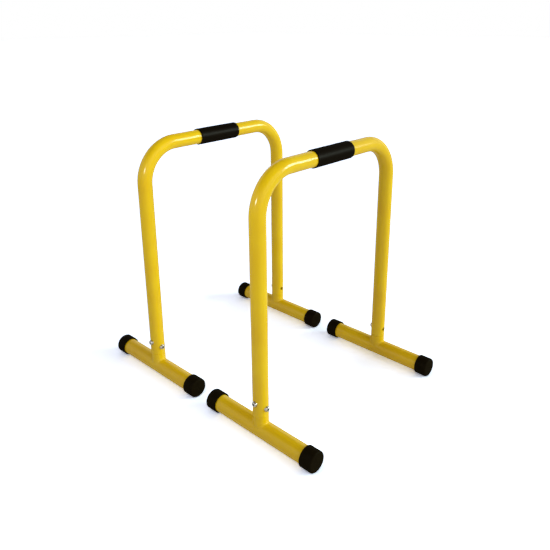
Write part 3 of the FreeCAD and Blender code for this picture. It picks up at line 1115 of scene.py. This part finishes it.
@dataclass(frozen=True)
class WeldedCollar(FootPart):
    """The short ring that a leg stands on, with the weld bead that holds it to the foot."""

    weld_radius: float = 4
    fit_gap: float = 0.05
    edge_break: float = 0.6
    columns: int = 264
    weld_steps: int = 12
    wall_rows: int = 3
    base_rows: int = 3
    ripple: float = 2.4  # from one ripple to the next
    ripple_depth: float = 0.16
    crown: float = 0.25
    bow: float = -0.9  # ripples by which a scale's edges lag behind its middle
    lump_size: float = 7
    lump_depth: float = 0.3

    @cached_property
    def radius(self) -> float:
        """The collar's outside radius, which is the leg's own."""
        return self.extent("bar_tube").size.x / 2 / MM

    @cached_property
    def foot_radius(self) -> float:
        """The outside radius of the foot that the collar stands on."""
        return self.foot.size.y / 2 / MM

    @cached_property
    def bore(self) -> float:
        """The radius of the hole that the spigot fills."""
        return self.extent(self.corner, "spigot").size.x / 2 / MM + self.fit_gap

    @cached_property
    def top(self) -> float:
        """The collar's top above the foot's axis."""
        return (self.extent(self.corner, "collar").high.z - self.foot.centre.z) / MM

    def build(self) -> None:
        """Make the collar and fit it."""
        source, length = self.smooth(self.stand.node(self.corner, "welded_collar"))
        values = {
            "ripples": float(round(length / self.ripple)),
            "crown": self.crown * MM,
            "ripple depth": self.ripple_depth * MM,
            "bow": self.bow,
            "lump scale": per_metre(self.lump_size),
            "lump depth": self.lump_depth * MM,
        }
        piece = self.make(self.workshop.weld, source, values)
        self.fit(piece, self.stand.node(self.corner, "collar"))

    def column(self, angle: float) -> list[tuple[Vector, float]]:
        """One upright slice of the collar, as a closed outline.

        Args:
            angle: The slice's direction in radians.

        Returns:
            Points in millimetres from the foot's axis, each with its place across the weld.
        """
        out = Vector((math.cos(angle), math.sin(angle), 0))
        under = self.foot_radius + self.fit_gap

        def at(radius: float, height: float) -> Vector:
            """A point of the slice."""
            return out * radius + UP * height

        def on_foot(flat: Vector) -> Vector:
            """The point of the foot's skin over a place on the floor."""
            return Vector((flat.x, flat.y, math.sqrt(under**2 - flat.y**2)))

        ball = at(self.radius + self.weld_radius, 0)
        ball.z = math.sqrt((self.foot_radius + self.weld_radius) ** 2 - ball.y**2)
        to_leg = -out
        to_foot = -Vector((0, ball.y, ball.z)).normalized()
        spread = to_leg.angle(to_foot)
        wall_top = self.top - self.edge_break
        points = [
            (on_foot(out * self.bore), OFF_WELD),
            (at(self.bore, self.top), OFF_WELD),
            (at(self.radius - self.edge_break, self.top), OFF_WELD),
        ]
        for row in range(self.wall_rows):
            share = row / self.wall_rows
            points.append((at(self.radius, wall_top + (ball.z - wall_top) * share), OFF_WELD))
        for step in range(self.weld_steps + 1):
            share = step / self.weld_steps
            swing = (
                to_leg * math.sin((1 - share) * spread) + to_foot * math.sin(share * spread)
            ) / math.sin(spread)
            points.append((ball + swing * self.weld_radius, share))
        toe = points[-1][0]
        for row in range(1, self.base_rows):
            flat = toe.lerp(out * self.bore, row / self.base_rows)
            points.append((on_foot(flat), OFF_WELD))
        return points

    def smooth(self, name: str) -> tuple[Object, float]:
        """The collar before its weld is rippled.

        Args:
            name: The object's name.

        Returns:
            The object, not yet in the scene, and the weld's length in millimetres.
        """
        slices = [self.column(FULL_TURN * step / self.columns) for step in range(self.columns)]
        middle = next(row for row, (_, across) in enumerate(slices[0]) if across >= MIDWAY)
        track = [outline[middle][0] for outline in slices]
        steps = [(after - here).length for here, after in zip(track, track[1:] + track[:1])]
        shell = bmesh.new()
        around = shell.verts.layers.float.new(AROUND)
        across = shell.verts.layers.float.new(ACROSS)
        columns: list[list[bmesh.types.BMVert]] = []
        for index, outline in enumerate(slices):
            column = []
            for point, share in outline:
                vertex = shell.verts.new(self.foot.centre + point * MM)
                vertex[around] = sum(steps[:index]) / sum(steps)
                vertex[across] = share
                column.append(vertex)
            columns.append(column)
        for here, after in zip(columns, columns[1:] + columns[:1]):
            for row in range(len(here)):
                below = (row + 1) % len(here)
                shell.faces.new((here[row], here[below], after[below], after[row]))
        return shell_object(name, shell), sum(steps)


@dataclass(frozen=True)
class ButtonBolts(SubAssembly):
    """The four button-head bolts of a stand."""

    slot: ClassVar[Slot] = Slot.ZINC
    seed: int
    head_radius: float = 7
    head_height: float = 4.4
    dome: float = 3.3
    dome_steps: int = 8
    underside_break: float = 0.2
    socket: float = 2.5  # half its width across flats
    socket_depth: float = 2.6
    socket_mouth: float = 3.15
    socket_bevel: float = 0.45
    floor_bevel: float = 0.1
    floor_share: float = 0.96  # of the socket's width
    drill_depth: float = 0.4  # of the mark that the drill left in the socket's floor
    drill_radius: float = 0.6
    shank_radius: float = 3.9
    shank_length: float = 16
    shank_point: float = 0.8
    sides: int = 48

    def build(self) -> None:
        """Make the bolts and fit them."""
        name = self.stand.node("button_bolts")
        one = lofted(f"{name}_one", self.rings(), self.sides)
        values = {"fitting": one, "seed": self.seed}
        piece = self.make(self.workshop.seats, self.seats(name), values)
        bpy.data.objects.remove(one)
        nodes = [self.stand.node(corner, bolt, "bolt") for corner in Corner for bolt in Bolt]
        self.fit(piece, *nodes)

    def seats(self, name: str) -> Object:
        """A mesh with a point on each washer, which knows which way its bolt faces.

        Args:
            name: The mesh's name.

        Returns:
            Its object, not yet in the scene.
        """
        places, directions = [], []
        for corner in Corner:
            axis = self.extent(corner, "collar").centre
            for bolt in Bolt:
                box = self.extent(corner, bolt, "bolt")
                outwards = box.centre - axis
                outwards.z = 0
                outwards.normalize()
                length = abs(box.size.dot(outwards)) / 2
                places.append(box.centre + outwards * (length - self.head_height * MM))
                directions.append(outwards)
        mesh = bpy.data.meshes.new(name)
        mesh.from_pydata(places, [], [])
        facing = mesh.attributes.new(FACING, "FLOAT_VECTOR", "POINT")
        facing.data.foreach_set("vector", [part for way in directions for part in way])
        return bpy.data.objects.new(name, mesh)

    def rings(self) -> list[Ring]:
        """The bolt's rings.

        Returns:
            The rings, from the socket's floor over the head and down the shank.
        """
        top, head, shank = self.head_height, self.head_radius, self.shank_radius
        floor = top - self.socket_depth
        dome = arc((top - self.dome, head - self.dome), self.dome, 0, 90, self.dome_steps)
        # painted shade: darkest on the socket's floor, then round the shank and under the head
        return [
            Ring(floor - self.drill_depth, self.drill_radius, recess=1.0),
            Ring(floor, self.socket * self.floor_share, six_sided=True, recess=1.0),
            Ring(floor + self.floor_bevel, self.socket, six_sided=True, recess=0.95),
            Ring(top - self.socket_bevel, self.socket, six_sided=True, recess=0.7),
            Ring(top, self.socket_mouth, recess=0.15),
            *(Ring(height, out) for height, out in dome),
            Ring(self.underside_break, head, recess=0.2),
            Ring(0.0, head - self.underside_break, recess=0.6),
            Ring(0.0, shank, recess=0.8),
            Ring(self.shank_point - self.shank_length, shank),
            Ring(-self.shank_length, shank - self.shank_point),
        ]


@dataclass(frozen=True)
class HiddenSteel(SubAssembly):
    """The CAD nodes that stay as they are: spigots, washers and weld nuts."""

    def build(self) -> None:
        """Give each node its finish."""
        for corner in Corner:
            self.dress(self.stand.node(corner, "spigot"), Slot.COAT)
            for bolt in Bolt:
                for part in ("washer", "weld_nut"):
                    self.dress(self.stand.node(corner, bolt, part), Slot.ZINC)

    def dress(self, node: str, slot: Slot) -> None:
        """Give a CAD node its finish.

        Args:
            node: The node's name.
            slot: The material slot that its finish comes from.
        """
        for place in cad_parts[node].material_slots:
            place.material = self.workshop.finishes[slot]
        log.info("%s: kept, in %s", node, slot.value)


# ---- the studio --------------------------------------------------------------------------


def hang(lamp: Light, place: Vector, back: Vector) -> Object:
    """Put a lamp in the scene, out of the camera's sight.

    Args:
        lamp: The lamp.
        place: Where it is, in millimetres.
        back: The way that its back faces.

    Returns:
        The object that holds the lamp.
    """
    turn = back.to_track_quat("Z", "Y").to_matrix().to_4x4()
    holder = bpy.data.objects.new(lamp.name, lamp)
    holder.matrix_world = Matrix.Translation(place * MM) @ turn
    holder.visible_camera = False
    bpy.context.scene.collection.objects.link(holder)
    return holder


@dataclass(frozen=True)
class Sun:
    """A large lamp, so far away that it lights the whole pair alike."""

    name: str
    heading: float  # degrees from +X towards +Y
    height: float  # degrees above the floor
    spread: float  # degrees across
    strength: float
    colour: str
    gloss: bool = True  # whether glossy surfaces mirror it
    distance: float = 5000

    def hang(self) -> None:
        """Put the lamp in the scene."""
        lamp = bpy.data.lights.new(self.name, "SUN")
        lamp.energy = self.strength
        lamp.color = linear(self.colour)[:3]
        lamp.angle = math.radians(self.spread)
        turn, rise = math.radians(self.heading), math.radians(self.height)
        flat = math.cos(rise)
        towards = Vector((math.cos(turn) * flat, math.sin(turn) * flat, math.sin(rise)))
        hang(lamp, towards * self.distance, towards).visible_glossy = self.gloss


@dataclass(frozen=True)
class Softbox:
    """A small square lamp close by, which lights what is near it more."""

    name: str
    place: tuple[float, float, float]
    aim: tuple[float, float, float]
    edge: float
    power: float

    def hang(self) -> None:
        """Put the lamp in the scene."""
        lamp = bpy.data.lights.new(self.name, "AREA")
        lamp.shape = "SQUARE"
        lamp.size = self.edge * MM
        lamp.energy = self.power
        hang(lamp, Vector(self.place), Vector(self.place) - Vector(self.aim))


@dataclass(frozen=True)
class Viewpoint:
    """The camera that looks down on the pair from its front right corner."""

    place: tuple[float, float, float] = (1069.0, -1113.6, 996.9)
    heading: float = 42.703  # degrees from +Y towards -X
    dip: float = 18.0  # degrees below level
    roll: float = -0.318
    lens: float = 38.054
    shift: tuple[float, float] = (-0.0092, -0.122)
    sight: float = 100.0  # metres

    def set_up(self) -> None:
        """Make the camera and give it to the scene."""
        data = bpy.data.cameras.new("camera")
        data.lens = self.lens
        data.shift_x, data.shift_y = self.shift
        data.clip_end = self.sight
        holder = bpy.data.objects.new("camera", data)
        holder.matrix_world = (
            Matrix.Translation(Vector(self.place) * MM)
            @ Matrix.Rotation(math.radians(self.heading), 4, "Z")
            @ Matrix.Rotation(math.radians(90 - self.dip), 4, "X")
            @ Matrix.Rotation(math.radians(self.roll), 4, "Z")
        )
        bpy.context.scene.collection.objects.link(holder)
        bpy.context.scene.camera = holder


@dataclass(frozen=True)
class Studio:
    """A white floor and white walls under a dark ceiling. The key lamp is on the right, the
    bounce is what the walls there give back, and the fill is in front."""

    lamps: tuple[Sun | Softbox, ...] = (
        Sun("key", heading=44, height=15, spread=20, strength=1.68, colour="#EEFFEE"),
        Sun("bounce", heading=6, height=14, spread=60, strength=1.3, colour="#FBFFF8", gloss=False),
        Softbox("fill", place=(200, -900, 850), aim=(0, -260, 450), edge=120, power=1.65),
    )
    ambient: float = 0.36
    wall_top: float = 25  # degrees above the horizon, where the white starts to fade
    ceiling: float = 55  # degrees above the horizon, where the ceiling is fully dark
    air_light: str = "#FFF6EC"
    wall_look: str = "#FFFFFF"
    ceiling_look: str = "#3A3A3A"
    floor_light: str = "#E7E7E7"
    floor_look: str = "#DBE6FF"  # cool, so that shadows near the yellow coat stay grey
    floor_gain: float = 2.42  # how much more of its light the floor shows than a matt one
    floor_mirrored: float = 0.85  # the same gain where the floor is seen by reflection
    floor_glow: float = 0.13  # what no shadow takes from the floor
    floor_half: float = 30000

    def set_up(self) -> None:
        """Make the world, the floor and the lamps."""
        bpy.context.scene.view_settings.view_transform = "Standard"
        self.fill_air()
        self.lay_floor()
        for lamp in self.lamps:
            lamp.hang()

    def shown(self, tree: NodeTree, lit: Link, look: Link) -> Node:
        """Let a surface light the object in one way, and be seen in another.

        Args:
            tree: The surface's node tree.
            lit: The shader that lights the object.
            look: The shader that the camera sees, directly or by reflection.

        Returns:
            The node of both.
        """
        rays = add_node(tree, "ShaderNodeLightPath").outputs
        seen = rays["Is Camera Ray"]
        for kind in ("Is Glossy Ray", "Is Transmission Ray"):
            terms = {0: seen, 1: rays[kind]}
            seen = add_node(tree, "ShaderNodeMath", terms, operation="MAXIMUM")
        return add_node(tree, "ShaderNodeMixShader", {0: seen, 1: lit, 2: look})

    def fill_air(self) -> None:
        """Light the scene evenly, and show white walls and a dark ceiling."""
        world = bpy.data.worlds.new("air")
        bpy.context.scene.world = world
        world.use_nodes = True
        tree = world.node_tree
        tree.nodes.clear()
        direction = add_node(tree, "ShaderNodeTexCoord").outputs["Generated"]
        height = add_node(tree, "ShaderNodeSeparateXYZ", {"Vector": direction}).outputs["Z"]
        start, end = (math.sin(math.radians(rise)) for rise in (self.wall_top, self.ceiling))
        fade = {"Value": height, "From Min": start, "From Max": end}
        share = add_node(tree, "ShaderNodeMapRange", fade, interpolation_type="SMOOTHSTEP")
        walls, ceiling = linear(self.wall_look), linear(self.ceiling_look)
        base = {"Factor": share, COLOUR_A: walls, COLOUR_B: ceiling}
        colour = add_node(tree, "ShaderNodeMix", base, data_type="RGBA").outputs[COLOUR_OUT]
        lit, look = (
            add_node(tree, "ShaderNodeBackground", {"Color": light, "Strength": strength})
            for light, strength in ((linear(self.air_light), self.ambient), (colour, 1.0))
        )
        surface = self.shown(tree, lit, look)
        add_node(tree, "ShaderNodeOutputWorld", {"Surface": surface})

    def lay_floor(self) -> None:
        """Lay the floor just under the caps: matt white, with its soft shadows kept."""
        half, height = self.floor_half * MM, cad_box[0].z
        mesh = bpy.data.meshes.new("floor")
        corners = [(x * half, y * half, height) for x, y in ((-1, -1), (1, -1), (1, 1), (-1, 1))]
        mesh.from_pydata(corners, [], [range(4)])
        material = bpy.data.materials.new("white floor")
        material.use_nodes = True
        tree = material.node_tree
        tree.nodes.clear()
        base = {
            "Factor": add_node(tree, "ShaderNodeLightPath").outputs["Is Camera Ray"],
            COLOUR_A: (*[self.floor_mirrored] * 3, 1.0),
            COLOUR_B: tuple(level * self.floor_gain for level in linear(self.floor_look)),
        }
        colour = add_node(tree, "ShaderNodeMix", base, data_type="RGBA").outputs[COLOUR_OUT]
        lit, look = (
            add_node(tree, "ShaderNodeBsdfDiffuse", {"Color": paint})
            for paint in (linear(self.floor_light), colour)
        )
        light = {"Color": (1, 1, 1, 1), "Strength": self.floor_glow}
        look = add_node(
            tree, "ShaderNodeAddShader", {0: look, 1: add_node(tree, "ShaderNodeEmission", light)}
        )
        surface = self.shown(tree, lit, look)
        add_node(tree, "ShaderNodeOutputMaterial", {"Surface": surface})
        mesh.materials.append(material)
        floor = bpy.data.objects.new("floor", mesh)
        bpy.context.scene.collection.objects.link(floor)


# ---- the pair ----------------------------------------------------------------------------


def build_stand(stand: Stand, workshop: Workshop) -> None:
    """Build one stand, from its bar down to its fasteners.

    Args:
        stand: Which of the two.
        workshop: The recipes and finishes.
    """
    BentBar(workshop, stand).build()
    FoamGrip(workshop, stand).build()
    for corner in Corner:
        FootTube(workshop, stand, corner).build()
        WeldedCollar(workshop, stand, corner).build()
        for end in End:
            EndCap(workshop, stand, corner, end).build()
    ButtonBolts(workshop, stand, seed=list(Stand).index(stand) + 1).build()
    HiddenSteel(workshop, stand).build()


def main() -> None:
    """Set up the studio and build both stands."""
    logging.basicConfig(level=logging.INFO, format="%(name)s: %(message)s")
    Viewpoint().set_up()
    Studio().set_up()
    workshop = Workshop()
    for stand in Stand:
        build_stand(stand, workshop)


if __name__ == "__main__":
    main()
